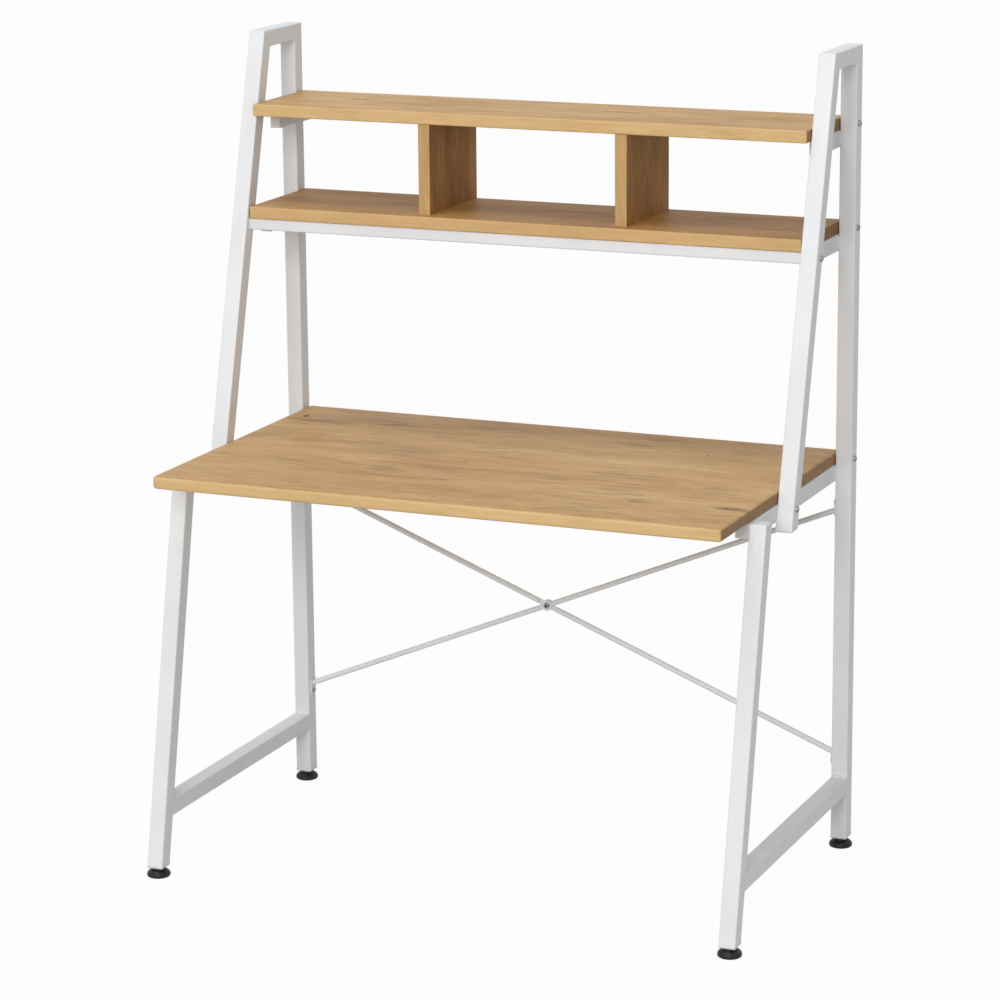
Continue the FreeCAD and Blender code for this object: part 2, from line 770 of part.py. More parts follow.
def hex_nut(label):
    body = new_body(label)
    corner = "nut_across / sqrt(3)"
    corners = [(f"{corner} * cos({60 * step})", f"{corner} * sin({60 * step})") for step in range(6)]
    pad(body, outline(body, "XY_Plane", corners), "nut_height", side="One side")
    sketch = circles(body, "XY_Plane", [("0", "0")], "bolt_hole")
    pocket(body, sketch, "nut_height + overrun", side="One side", reverse=True)
    return body


def bolt_group(label, length, spots):
    # Bolts that go in through the side frames' outer faces, head outside
    template = machine_bolt(label + "_master", length)
    group(label, template, [
        ((f"{sign} * frame_width / 2", y, z), axis_y, -90 * sign)
        for side, sign in sides for y, z in spots
    ])


def fasteners():
    board_levels = ("desk_height", "lower_shelf_height", "top_shelf_height")
    board_middles = [f"{level} - board / 2" for level in board_levels]
    bolt_group("post_bolts", "post_bolt_length", [("post_middle", z) for z in board_middles])
    bolt_group("desk_rail_bolts", "rail_bolt_length", [("desk_bolt_place", "desk_bolt_height")])
    bolt_group("front_rail_bolts", "front_bolt_length", [("front_rail_middle", "front_bolt_height")])
    nut = hex_nut("desk_rail_nut_master")
    group("desk_rail_nuts", nut, [
        ((f"{sign} * (inner_face - tube)", "desk_bolt_place", "desk_bolt_height"), axis_y, -90 * sign)
        for side, sign in sides
    ])
    barrel = new_body("barrel_nut_master")
    pad(barrel, circles(barrel, "XY_Plane", [("0", "0")], "barrel_diameter"), "barrel_length")
    pocket(barrel, circles(barrel, "YZ_Plane", [("0", "0")], "bolt_hole"), "barrel_diameter + 2 * overrun")
    group("barrel_nuts", barrel, [
        ((f"{sign} * (board_half - barrel_inset)", "post_middle", z), None, 0)
        for side, sign in sides for z in board_middles
    ])
    insert = new_body("rail_insert_master")
    half_insert = "front_rail / 2 - tube_wall - plug_fit"
    block = rectangle(f"-({half_insert})", f"-({half_insert})", half_insert, half_insert)
    pad(insert, outline(insert, "YZ_Plane", block), "insert_length")
    pocket(insert, circles(insert, "YZ_Plane", [("0", "0")], "bolt_hole"), "insert_length + 2 * overrun")
    group("front_rail_inserts", insert, [
        ((f"{sign} * (inner_face - insert_length / 2)", "front_rail_middle", "front_bolt_height"), None, 0)
        for side, sign in sides
    ])
    desk_spots = mirrored_spots("rail_middle", rail_screw_spots)
    lower_spots = mirrored_spots("bar_middle", lower_screw_spots)
    top_spots = mirrored_spots("bar_middle", top_screw_spots)
    screw_sets = (
        ("desk_screws", "rail_screw_length", desk_spots, "rail_bottom"),
        ("lower_shelf_screws", "bar_screw_length", lower_spots, "lower_bar_bottom"),
        ("top_shelf_screws", "bar_screw_length", top_spots, "top_bar_bottom"),
        ("divider_screws", "divider_screw_length", divider_pins, "lower_under"),
    )
    for label, length, spots, under in screw_sets:
        template = headed_pin(label + "_master", length, "screw_diameter",
                              "screw_head_diameter", "screw_head_height")
        group(label, template, [((x, y, under), None, 0) for x, y in spots])
    dowel = new_body("dowel_master")
    pad(dowel, circles(dowel, "XY_Plane", [("0", "0")], "dowel_diameter"), "dowel_length")
    group("divider_dowels", dowel, [((x, y, "top_under"), None, 0) for x, y in divider_pins])


for side, sign in sides:
    rear_post(side, sign)
    upright(side, sign)
    top_bar(side, sign)
    lower_leg(side, sign)
    stretcher(side, sign)
    desk_rail(side, sign)
    shelf_bars(side, sign)
    divider(side, sign)
shelf_front_rail()
boards()
tube_plugs()
feet()
cross_brace()
fasteners()
doc.recompute()

# Nothing is written unless every object is sound
for item in doc.Objects:
    if "Invalid" in item.State or "Error" in item.State:
        raise RuntimeError(f"{item.Label} failed: {item.State}")
for node in nodes:
    if node.Shape.isNull() or not node.Shape.isValid():
        raise RuntimeError(f"{node.Label} has no sound shape")

os.makedirs("parts", exist_ok=True)
for node in nodes:
    node.Shape.exportStep(f"parts/{node.Label}.step")
print(f"{len(nodes)} nodes written")
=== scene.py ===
# Ladder desk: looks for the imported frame, in metres, front towards -Y
import json
import math

import bmesh
import bpy
from mathutils import Matrix, Quaternion, Vector


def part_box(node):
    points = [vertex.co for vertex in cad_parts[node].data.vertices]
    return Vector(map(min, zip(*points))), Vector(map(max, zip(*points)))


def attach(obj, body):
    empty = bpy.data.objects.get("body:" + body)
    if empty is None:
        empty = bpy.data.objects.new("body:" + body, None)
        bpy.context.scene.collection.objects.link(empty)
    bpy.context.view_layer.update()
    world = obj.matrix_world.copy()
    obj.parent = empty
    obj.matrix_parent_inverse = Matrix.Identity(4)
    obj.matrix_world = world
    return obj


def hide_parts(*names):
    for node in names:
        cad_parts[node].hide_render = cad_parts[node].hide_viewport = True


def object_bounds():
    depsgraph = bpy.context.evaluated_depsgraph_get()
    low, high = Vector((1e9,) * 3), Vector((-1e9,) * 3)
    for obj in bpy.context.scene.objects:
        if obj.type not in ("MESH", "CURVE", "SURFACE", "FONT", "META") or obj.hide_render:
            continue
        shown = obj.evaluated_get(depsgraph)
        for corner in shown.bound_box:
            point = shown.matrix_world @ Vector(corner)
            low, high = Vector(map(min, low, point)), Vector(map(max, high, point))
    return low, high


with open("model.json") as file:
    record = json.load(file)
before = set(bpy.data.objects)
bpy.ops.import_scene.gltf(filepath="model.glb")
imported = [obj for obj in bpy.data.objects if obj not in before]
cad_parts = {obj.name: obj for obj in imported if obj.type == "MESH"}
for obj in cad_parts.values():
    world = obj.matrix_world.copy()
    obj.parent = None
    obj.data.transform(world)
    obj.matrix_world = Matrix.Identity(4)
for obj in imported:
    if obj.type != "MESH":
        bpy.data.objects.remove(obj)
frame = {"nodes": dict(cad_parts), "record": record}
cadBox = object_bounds()
nodes = frame["nodes"]
mm = 0.001
mergeDistance = 0.001 * mm
samePlace = 0.01 * mm
print("frame loaded:", len(nodes), "CAD nodes")


# Small helpers for materials

def hexColour(code):
    # sRGB hex to the linear values that shaders take
    parts = [int(code[i:i + 2], 16) / 255 for i in (1, 3, 5)]
    return [p / 12.92 if p <= 0.04045 else ((p + 0.055) / 1.055) ** 2.4 for p in parts] + [1.0]


def perMm(size):
    # texture scale whose pattern changes about once every so many millimetres
    return 1 / (size * mm)


def limits(four):
    # what a range of values is mapped from and to
    return dict(zip(("From Min", "From Max", "To Min", "To Max"), four))


def addNode(tree, kind, inputs=None, stops=None, **settings):
    # inputs are values, sockets, or nodes that give their first output
    node = tree.nodes.new("ShaderNode" + kind)
    for name, value in settings.items():
        setattr(node, name, value)
    for name, value in (inputs or {}).items():
        if isinstance(value, bpy.types.Node):
            value = value.outputs[0]
        if isinstance(value, bpy.types.NodeSocket):
            tree.links.new(value, node.inputs[name])
        else:
            node.inputs[name].default_value = value
    for index, (place, code) in enumerate(stops or []):
        ramp = node.color_ramp.elements
        stop = ramp[index] if index < 2 else ramp.new(place)
        stop.position = place
        stop.color = hexColour(code)
    return node


def newMaterial(name):
    material = bpy.data.materials.new(name)
    material.use_nodes = True
    material.node_tree.nodes.clear()
    return material, material.node_tree


# Oak boards

oak = {
    "tones": [(0.0, "#8f6435"), (0.3, "#b68a52"), (0.5, "#caa068"), (0.7, "#d8b27b"), (1.0, "#e8c995")],
    "wispColour": "#7f6246",
    "strokeColour": "#6a4d36",
    "knotColour": "#33241a",
    # darker end faces: partly end grain that takes more lacquer, partly painted shade
    "endGrainShadeColour": "#7c5832",
    # painted highlight for the faces towards the front and the back
    "edgeHighlightColour": "#e6c48e",
    # length and width of each pattern along and across the grain in millimetres, and its detail
    "patterns": {
        "cloud": (300, 120, 2.0),
        "band": (260, 42, 4.0),
        "wisp": (95, 14, 3.0),
        "gather": (240, 90, 1.0),
        "fibre": (60, 8, 4.0),     # bundles of fibres, seen from a step away
        "grain": (300, 2.6, 2.0),  # real fibres are under 1 mm wide: drawn coarser so that they show
        "pore": (24, 1.6, 1.0),    # real pores are 0.3 mm wide: coarser too
    },
    "tone": {"cloud": 0.42, "band": 0.55, "fibre": 0.5, "grain": 0.5},
    "wander": (200, 90, 18),       # how the grain wanders: length, width and reach in millimetres
    "gatherLimits": (0.4, 0.62, 0.2, 1.0),
    "wispLimits": (0.5, 0.7, 0.0, 0.45),
    "poreLimits": (0.58, 0.72, 0.0, 0.3),
    "tear": {"size": (45, 9), "span": (70, 18)},
    "strokeFade": (0.2, 1.1),
    "knotFade": (0.4, 1.15),
    "knotShape": (0.8, 1.0),       # in knot sizes, along and across the grain
    "knotBend": (10, 6, 1.6),      # the oval where fibres bend, and how far they do, in knot sizes
    "ringSpacing": 5,
    "ringWobble": 1.6,
    "ringCentre": (0, 60, 90),
    "ringLimits": (0.0, 1.0, 0.62, 0.82),
    "endLimits": (0.7, 0.95, 0.0, 1.0),
    "edgeHighlightLimits": (0.25, 0.8, 0.0),  # the fourth is each board's own share of painted highlight on the front and back edges
    "sheenLimits": (0.3, 0.7, 0.44, 0.58),
    "bump": (0.2, 0.3),
}

# Each board's tone, darker on the lower shelf and the dividers as painted shade, its gloss and the painted
# highlight on its front and back edges, and where its knots (x, y, size, depth) and dark strokes (x, y,
# length, width, depth) lie, in millimetres
oakBoards = {
    "desktop": {
        "turn": 0.0, "shift": (0.31, 0.12, 0.05), "tone": 0.02, "gloss": 0.22, "edgeHighlight": 0.6,
        "knots": [(-484, 225, 17, 0.95), (-60, -13, 12, 0.45), (319, 184, 11, 0.5), (478, -168, 12, 0.6)],
        "strokes": [
            (-430, 192, 150, 30, 0.5), (-297, 213, 110, 26, 0.55), (-138, 245, 90, 24, 0.4),
            (-206, 28, 230, 90, 0.22), (-150, -155, 300, 22, 0.3), (-45, -149, 60, 18, 0.5),
            (323, -180, 64, 22, 0.55), (490, -172, 80, 26, 0.75), (180, 216, 90, 24, 0.4),
        ],
    },
    "top_shelf": {
        "turn": 0.0, "shift": (-0.47, 0.33, 0.21), "tone": 0.0, "gloss": 0.22, "edgeHighlight": 0.55,
        "knots": [(-352, 229, 10, 0.6)],
        "strokes": [(-360, 226, 60, 20, 0.5), (145, 222, 130, 22, 0.55), (420, 225, 90, 16, 0.5)],
    },
    # its lower tone is painted shade, from the top shelf above it
    "lower_shelf": {
        "turn": 0.0, "shift": (0.83, -0.21, 0.4), "tone": -0.19, "gloss": 0.1, "edgeHighlight": 0.6,
        "knots": [], "strokes": []},
    # the dividers' lower tone is painted shade, as they stand between the shelves
    "divider_left": {
        "turn": math.pi / 2, "shift": (0.2, 0.6, -0.3), "tone": -0.3, "gloss": 0.04, "edgeHighlight": 0.45,
        "knots": [], "strokes": []},
    "divider_right": {
        "turn": math.pi / 2, "shift": (1.4, 0.9, 0.35), "tone": -0.3, "gloss": 0.04, "edgeHighlight": 0.45,
        "knots": [], "strokes": []},
}


def grainScale(along, across):
    return perMm(along), perMm(across), perMm(across)


def ovalAround(tree, place, x, y, length, width):
    # coordinates in the board's plane that are 0 at a spot and 1 long at the edge of an oval round it
    scale = (2 / (length * mm), 2 / (width * mm), 0)
    start = (-x * mm * scale[0], -y * mm * scale[1], 0)
    near = addNode(tree, "Mapping", {"Vector": place, "Scale": scale, "Location": start})
    return near, addNode(tree, "VectorMath", {0: near}, operation="LENGTH").outputs["Value"]


def ovalMarks(tree, place, spots, fade):
    # the strongest of some soft oval marks, or None where there are none
    strongest = None
    for x, y, length, width, depth in spots:
        near, far = ovalAround(tree, place, x, y, length, width)
        mark = addNode(tree, "MapRange", {"Value": far, **limits(fade + (depth, 0.0))},
                       interpolation_type="SMOOTHSTEP")
        strongest = addNode(tree, "Math", {0: mark, 1: strongest or 0.0}, operation="MAXIMUM")
    return strongest


def shaken(tree, place, noise, span):
    # a place moved about by a noise within a span along each axis
    middle = addNode(tree, "VectorMath", {0: noise.outputs["Color"], 1: (0.5, 0.5, 0.5)},
                     operation="SUBTRACT")
    move = addNode(tree, "VectorMath", {0: middle, 1: span}, operation="MULTIPLY")
    return addNode(tree, "VectorMath", {0: place, 1: move}, operation="ADD")


def grainFlow(tree, place, board):
    # coordinates that follow the grain: round the knots and wandering a little
    turned = addNode(tree, "Mapping", {"Vector": place, "Rotation": (0, board["turn"], 0)})
    flow = addNode(tree, "VectorMath", {0: turned, 1: board["shift"]}, operation="ADD")
    bendLength, bendWidth, bendReach = oak["knotBend"]
    for x, y, size, depth in board["knots"]:
        near, far = ovalAround(tree, place, x, y, bendLength * size, bendWidth * size)
        pull = addNode(tree, "MapRange", {"Value": far, **limits((0.0, 1.0, -bendReach * size * mm, 0.0))},
                       interpolation_type="SMOOTHSTEP")
        bend = addNode(tree, "VectorMath", {0: near, 1: (0, 1, 0)}, operation="MULTIPLY")
        push = addNode(tree, "VectorMath", {0: bend, "Scale": pull}, operation="SCALE")
        flow = addNode(tree, "VectorMath", {0: flow, 1: push}, operation="ADD")
    along, across, reach = oak["wander"]
    slow = addNode(tree, "Mapping", {"Vector": flow, "Scale": grainScale(along, across)})
    drift = addNode(tree, "TexNoise", {"Vector": slow, "Scale": 1.0, "Detail": 1.0})
    return shaken(tree, flow, drift, (0, 2 * reach * mm, 2 * reach * mm))


def oakBoard(node):
    # solid oak under satin lacquer: honey fibres along the board in soft cloudy bands,
    # grey-brown wisps, and a few knots that the fibres run round
    board = oakBoards[node]
    material, tree = newMaterial("lacqueredOak_" + node)
    place = addNode(tree, "TexCoord").outputs["Object"]
    flow = grainFlow(tree, place, board)
    patterns = {}
    for name, (along, across, detail) in oak["patterns"].items():
        run = addNode(tree, "Mapping", {"Vector": flow, "Scale": grainScale(along, across)})
        patterns[name] = addNode(tree, "TexNoise", {
            "Vector": run, "Scale": 1.0, "Detail": detail, "Roughness": 0.5})

    # each board's tone shift; on the lower shelf and the dividers it is painted shade
    tone = 0.5 + board["tone"] - 0.5 * sum(oak["tone"].values())
    for name, share in oak["tone"].items():
        tone = addNode(tree, "Math", {0: patterns[name], 1: share, 2: tone}, operation="MULTIPLY_ADD")
    colour = addNode(tree, "ValToRGB", {"Fac": tone}, stops=oak["tones"])

    # wisps gather in some places
    thick = addNode(tree, "MapRange", {"Value": patterns["gather"], **limits(oak["gatherLimits"])})
    thin = addNode(tree, "MapRange", {"Value": patterns["wisp"], **limits(oak["wispLimits"])},
                   interpolation_type="SMOOTHSTEP")
    wisp = addNode(tree, "Math", {0: thick, 1: thin}, operation="MULTIPLY")
    pore = addNode(tree, "MapRange", {"Value": patterns["pore"], **limits(oak["poreLimits"])})

    # strokes with torn edges and knots stand where the real board has them
    (along, across), (spanAlong, spanAcross) = oak["tear"]["size"], oak["tear"]["span"]
    ragged = addNode(tree, "Mapping", {"Vector": place, "Scale": (perMm(along), perMm(across), 0)})
    ripple = addNode(tree, "TexNoise", {"Vector": ragged, "Scale": 1.0, "Detail": 2.0})
    torn = shaken(tree, place, ripple, (spanAlong * mm, spanAcross * mm, 0))
    strokes = ovalMarks(tree, torn, board["strokes"], oak["strokeFade"])
    length, width = oak["knotShape"]
    ovals = [(x, y, length * size, width * size, depth) for x, y, size, depth in board["knots"]]
    knots = ovalMarks(tree, place, ovals, oak["knotFade"])

    # end faces show the growth rings and are darker, partly as end grain takes more lacquer and partly as
    # painted shade; the front and back edges are paler as a painted highlight
    upward = addNode(tree, "Mapping", {
        "Vector": addNode(tree, "TexCoord").outputs["Normal"], "Rotation": (0, board["turn"], 0)})
    sides = addNode(tree, "VectorMath", {0: upward}, operation="ABSOLUTE")
    split = addNode(tree, "SeparateXYZ", {"Vector": sides})
    centre = addNode(tree, "Mapping", {"Vector": flow, "Location": [part * mm for part in oak["ringCentre"]]})
    # a wave texture of scale 1 repeats every pi / 10
    rings = addNode(tree, "TexWave", {
        "Vector": centre, "Scale": perMm(oak["ringSpacing"]) * math.pi / 10,
        "Distortion": oak["ringWobble"], "Detail": 2.0}, wave_type="RINGS", rings_direction="X")
    ringed = addNode(tree, "MapRange", {"Value": rings.outputs["Fac"], **limits(oak["ringLimits"])})
    sawn = addNode(tree, "MapRange", {"Value": split.outputs["X"], **limits(oak["endLimits"])})
    ends = addNode(tree, "Math", {0: ringed, 1: sawn}, operation="MULTIPLY")
    # painted highlight: faces towards the front and the back are made paler
    edge = addNode(tree, "MapRange", {
        "Value": split.outputs["Y"], **limits(oak["edgeHighlightLimits"] + (board["edgeHighlight"],))})

    layers = ((wisp, "wispColour"), (pore, "wispColour"), (strokes, "strokeColour"), (knots, "knotColour"),
              (edge, "edgeHighlightColour"), (ends, "endGrainShadeColour"))
    for share, code in layers:
        if share:
            colour = addNode(tree, "Mix", {0: share, 6: colour, 7: hexColour(oak[code])},
                             data_type="RGBA").outputs[2]
    sheen = addNode(tree, "MapRange", {"Value": patterns["fibre"], **limits(oak["sheenLimits"])})
    relief = addNode(tree, "Math", {0: pore, 1: -1.0, 2: patterns["grain"]}, operation="MULTIPLY_ADD")
    strength, height = oak["bump"]
    bump = addNode(tree, "Bump", {"Height": relief, "Strength": strength, "Distance": height * mm})
    shader = addNode(tree, "BsdfPrincipled", {
        "Base Color": colour, "Roughness": sheen, "Normal": bump, "IOR": 1.5,
        "Specular IOR Level": board["gloss"]})
    addNode(tree, "OutputMaterial", {"Surface": shader})
    return material


# Coat, plastics and plating: size in millimetres and detail of the slow patches and of the fine relief,
# the relief's strength and height, and the shader's own values
patchyLooks = {
    # polyester powder baked on steel: satin white with a faint orange peel, drawn at twice its real 1 mm
    "white_powder_coat": {
        "name": "whitePowderCoatedSteel", "colours": [(0.35, "#e6e7e9"), (0.65, "#ecedef")],
        "patch": (140, 3.0), "relief": (2.2, 1.0), "bump": (0.04, 0.1),
        "sheenLimits": (0.3, 0.7, 0.36, 0.46), "shader": {"IOR": 1.5}},
    # injection moulded, nearly black and slightly cloudy, with a spark-eroded grain drawn coarse to show
    "black_plastic": {
        "name": "blackPolypropylene", "colours": [(0.3, "#0c0c0b"), (0.7, "#181816")],
        "patch": (14, 4.0), "relief": (1.1, 2.0), "bump": (0.15, 0.15),
        "sheenLimits": (0.3, 0.7, 0.38, 0.52), "shader": {"IOR": 1.5, "Specular IOR Level": 0.3}},
    # the same in a milky white
    "white_plastic": {
        "name": "whitePolyethylene", "colours": [(0.3, "#e2e3e5"), (0.7, "#e9eaeb")],
        "patch": (14, 4.0), "relief": (1.4, 2.0), "bump": (0.15, 0.15),
        "sheenLimits": (0.3, 0.7, 0.4, 0.52), "shader": {"IOR": 1.5, "Specular IOR Level": 0.5}},
    # thin zinc on machined steel: uneven cool tint and fine turning marks
    "zinc_steel": {
        "name": "zincPlatedSteel", "colours": [(0.3, "#767b80"), (0.7, "#a6a8a9")],
        "patch": (6, 3.0), "relief": (0.5, 2.0), "bump": (0.1, 0.05),
        "sheenLimits": (0.3, 0.7, 0.26, 0.42), "shader": {"Metallic": 1.0}},
}


def patchyFinish(look):
    # slow patches shift the colour and the sheen a little, a fine noise gives the relief
    material, tree = newMaterial(look["name"])
    place = addNode(tree, "TexCoord").outputs["Object"]
    patch, fine = [addNode(tree, "TexNoise", {"Vector": place, "Scale": perMm(size), "Detail": detail})
                   for size, detail in (look["patch"], look["relief"])]
    colour = addNode(tree, "ValToRGB", {"Fac": patch}, stops=look["colours"])
    sheen = addNode(tree, "MapRange", {"Value": patch, **limits(look["sheenLimits"])})
    strength, height = look["bump"]
    bump = addNode(tree, "Bump", {"Height": fine, "Strength": strength, "Distance": height * mm})
    shader = addNode(tree, "BsdfPrincipled", {
        "Base Color": colour, "Roughness": sheen, "Normal": bump, **look["shader"]})
    addNode(tree, "OutputMaterial", {"Surface": shader})
    return material


beech = {
    "tones": [(0.4, "#d8b78f"), (0.55, "#cda679"), (0.68, "#b1875b")],
    "fleck": (1.2, 9), "roughness": 0.65, "bump": (0.2, 0.2),
}


def beechDowel():
    # turned beech: pale pinkish tan with short darker flecks along the pin
    material, tree = newMaterial("bareBeech")
    place = addNode(tree, "TexCoord").outputs["Object"]
    across, along = [perMm(size) for size in beech["fleck"]]
    run = addNode(tree, "Mapping", {"Vector": place, "Scale": (across, across, along)})
    fleck = addNode(tree, "TexNoise", {"Vector": run, "Scale": 1.0, "Detail": 2.0})
    colour = addNode(tree, "ValToRGB", {"Fac": fleck}, stops=beech["tones"])
    strength, height = beech["bump"]
    bump = addNode(tree, "Bump", {"Height": fleck, "Strength": strength, "Distance": height * mm})
    shader = addNode(tree, "BsdfPrincipled", {
        "Base Color": colour, "Roughness": beech["roughness"], "Normal": bump})
    addNode(tree, "OutputMaterial", {"Surface": shader})
    return material


finishes = {slot: patchyFinish(look) for slot, look in patchyLooks.items()}
finishes["beech_dowel"] = beechDowel()
for part in frame["record"]["subparts"]:
    node = part["node"]
    look = oakBoard(node) if node in oakBoards else finishes[part["material_slot"]]
    nodes[node].data.materials.clear()
    nodes[node].data.materials.append(look)
print("materials made:", len(bpy.data.materials))


# Helpers for new pieces

def solidBoxes(node):
    # the lowest and highest corner of each separate solid in a CAD node, from a merged copy of its mesh
    copy = bmesh.new()
    copy.from_mesh(nodes[node].data)
    bmesh.ops.remove_doubles(copy, verts=copy.verts, dist=mergeDistance)
    left = set(copy.verts)
    boxes = []
    while left:
        island, edge = [], [left.pop()]
        while edge:
            vert = edge.pop()
            island.append(vert.co.copy())
            linked = {link.other_vert(vert) for link in vert.link_edges} & left
            left -= linked
            edge.extend(linked)
        low = Vector([min(co[axis] for co in island) for axis in range(3)])
        high = Vector([max(co[axis] for co in island) for axis in range(3)])
        boxes.append((low, high))
    copy.free()
    return sorted(boxes, key=lambda box: tuple(box[0]))


def vertsIn(geom):
    return [item for item in geom if isinstance(item, bmesh.types.BMVert)]


def spinSolid(profile, steps):
    # turns a profile of radius and height in millimetres once round Z
    shape = bmesh.new()
    verts = [shape.verts.new((radius * mm, 0, height * mm)) for radius, height in profile]
    edges = [shape.edges.new(pair) for pair in zip(verts, verts[1:])]
    bmesh.ops.spin(shape, geom=verts + edges, cent=(0, 0, 0), axis=(0, 0, 1), angle=2 * math.pi,
                   steps=steps, use_merge=True)
    bmesh.ops.remove_doubles(shape, verts=shape.verts, dist=mergeDistance)
    bmesh.ops.recalc_face_normals(shape, faces=shape.faces)
    return shape


def roundRing(shape, radius, height, size, segments):
    # rounds the ring of edges that lies at one radius and height
    def onRing(vert):
        off = abs(math.hypot(vert.co.x, vert.co.y) - radius * mm) + abs(vert.co.z - height * mm)
        return off < samePlace
    ring = [edge for edge in shape.edges if onRing(edge.verts[0]) and onRing(edge.verts[1])]
    bmesh.ops.bevel(shape, geom=ring, offset=size * mm, offset_type="OFFSET", segments=segments, profile=0.5,
                    affect="EDGES", material=-1)


def sinkRecess(shape, depth, taper):
    # joins an open crown to the loose outline drawn in it, sinks the outline and closes its floor
    crown = [edge for edge in shape.edges if edge.is_boundary]
    outline = [edge for edge in shape.edges if edge.is_wire]
    bmesh.ops.bridge_loops(shape, edges=crown + outline)
    floor = vertsIn(bmesh.ops.extrude_edge_only(shape, edges=outline)["geom"])
    bmesh.ops.translate(shape, verts=floor, vec=(0, 0, -depth * mm))
    bmesh.ops.scale(shape, verts=floor, vec=(taper, taper, 1))
    bmesh.ops.holes_fill(shape, edges=[edge for edge in shape.edges if edge.is_boundary])
    bmesh.ops.recalc_face_normals(shape, faces=shape.faces)


threadCrest = (0.42, 0.58)  # where a thread's crest begins and ends in its pitch
threadLap = 0.5             # how far a thread reaches into the head, in millimetres


def threadedRod(radius, pitch, depth, bottom, top, steps=20):
    # one turn of thread spun up a helix, then copied from pitch to pitch into a rod
    shape = bmesh.new()
    outline = [(radius - depth, 0), (radius - depth, pitch)]
    outline[1:1] = [(radius, share * pitch) for share in threadCrest]
    verts = [shape.verts.new((r * mm, 0, (bottom + z) * mm)) for r, z in outline]
    edges = [shape.edges.new(pair) for pair in zip(verts, verts[1:])]
    bmesh.ops.spin(shape, geom=verts + edges, cent=(0, 0, 0), axis=(0, 0, 1), angle=2 * math.pi,
                   steps=steps, dvec=(0, 0, pitch * mm / steps))
    turn = shape.verts[:] + shape.edges[:] + shape.faces[:]
    for index in range(1, int((top - bottom) / pitch) - 1):
        copy = bmesh.ops.duplicate(shape, geom=turn)["geom"]
        bmesh.ops.translate(shape, verts=vertsIn(copy), vec=(0, 0, index * pitch * mm))
    bmesh.ops.remove_doubles(shape, verts=shape.verts, dist=mergeDistance)
    bmesh.ops.holes_fill(shape, edges=[edge for edge in shape.edges if edge.is_boundary])
    bmesh.ops.recalc_face_normals(shape, faces=shape.faces)
    return shape


def stamp(target, shape, spot=None):
    # adds a copy of a small shape to a piece, moved to its spot
    mesh = bpy.data.meshes.new("stamp")
    shape.to_mesh(mesh)
    start = len(target.verts)
    target.from_mesh(mesh)
    bpy.data.meshes.remove(mesh)
    target.verts.ensure_lookup_table()
    bmesh.ops.transform(target, matrix=spot or Matrix(), verts=target.verts[start:])


def facing(place, direction):
    # turns a shape's Z axis to a direction and moves it to a place
    return Matrix.Translation(place) @ Vector(direction).to_track_quat("Z", "Y").to_matrix().to_4x4()


def newPiece(name, shape, slot, body="frame", stands=(), crease=35):
    mesh = bpy.data.meshes.new(name)
    shape.to_mesh(mesh)
    shape.free()
    mesh.materials.append(finishes[slot])
    mesh.shade_smooth()
    mesh.set_sharp_from_angle(angle=math.radians(crease))
    piece = bpy.data.objects.new(name, mesh)
    bpy.context.scene.collection.objects.link(piece)
    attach(piece, body)
    if stands:
        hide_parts(*stands)
    return piece


# Button head bolts and their nuts

buttonBolt = {
    "head": 5.5, "height": 3.5, "crown": 3.0, "shoulder": 2.3, "shoulderSteps": 5,
    "socket": 2.0, "socketDepth": 2.0, "socketTaper": 0.94,
    "shank": 3.0, "pitch": 1.0, "depth": 0.5, "steps": 36,
}


def buttonHeadBolt(length):
    size = buttonBolt
    head, height = size["head"], size["height"]
    bolt = spinSolid([(size["crown"], height), (head, height), (head, 0), (0, 0)], size["steps"])
    roundRing(bolt, head, height, size["shoulder"], size["shoulderSteps"])
    socket = bmesh.ops.create_circle(bolt, segments=6, radius=size["socket"] / math.cos(math.pi / 6) * mm,
                                     matrix=Matrix.Translation((0, 0, height * mm)))["verts"]
    sides = {edge for vert in socket for edge in vert.link_edges}
    bmesh.ops.subdivide_edges(bolt, edges=list(sides), cuts=size["steps"] // 6 - 1)
    sinkRecess(bolt, size["socketDepth"], size["socketTaper"])
    thread = threadedRod(size["shank"], size["pitch"], size["depth"], -length, threadLap)
    stamp(bolt, thread)
    thread.free()
    return bolt


hexNut = {"across": 10, "height": 5, "chamfer": 0.6, "crease": 25}


def hexNutShape():
    nut = bmesh.new()
    across, height = hexNut["across"] * mm, hexNut["height"] * mm
    corner = across / 2 / math.cos(math.pi / 6)
    bmesh.ops.create_cone(nut, cap_ends=True, segments=6, radius1=corner, radius2=corner, depth=height,
                          matrix=Matrix.Translation((0, 0, height / 2)))
    ends = [edge for edge in nut.edges if abs(edge.verts[0].co.z - edge.verts[1].co.z) < samePlace]
    bmesh.ops.bevel(nut, geom=ends, offset=hexNut["chamfer"] * mm, offset_type="OFFSET", segments=2,
                    profile=0.5, affect="EDGES", material=-1)
    return nut


